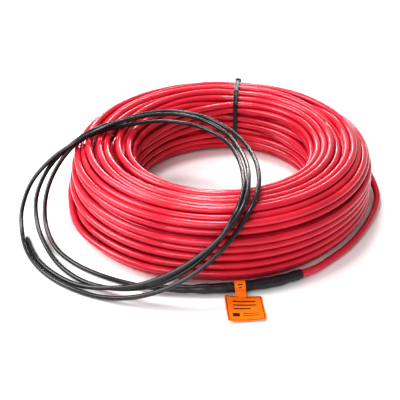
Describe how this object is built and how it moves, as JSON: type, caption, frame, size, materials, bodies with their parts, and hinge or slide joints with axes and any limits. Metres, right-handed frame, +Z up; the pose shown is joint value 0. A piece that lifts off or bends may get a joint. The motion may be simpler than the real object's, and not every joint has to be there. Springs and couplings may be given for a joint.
{
  "type": "heating cable",
  "caption": "Hand-wound flat coil of red floor heating cable held by a cable tie, with a sleeved joint, an orange tag and a looped black cold lead.",
  "frame": {"origin": "on the floor under the centre of the coil's bore", "axes": "+Z up along the bore's axis, +Y away from the viewer towards the cable tie, +X to the viewer's right"},
  "size_m": [0.3593, 0.3486, 0.0784],
  "materials": {
    "red_jacket": "satin",
    "black_jacket": "satin",
    "shrink_sleeve": "satin",
    "tie_nylon": "satin",
    "tag_film": "satin"
  },
  "bodies": {
    "root": {"heating_cable_coil": "red_jacket", "cable_tie": "tie_nylon", "end_seal": "shrink_sleeve", "heating_cable_tail": "red_jacket", "joint_sleeve": "shrink_sleeve", "marker_tag": "tag_film", "cold_lead": "black_jacket"}
  },
  "joints": []
}
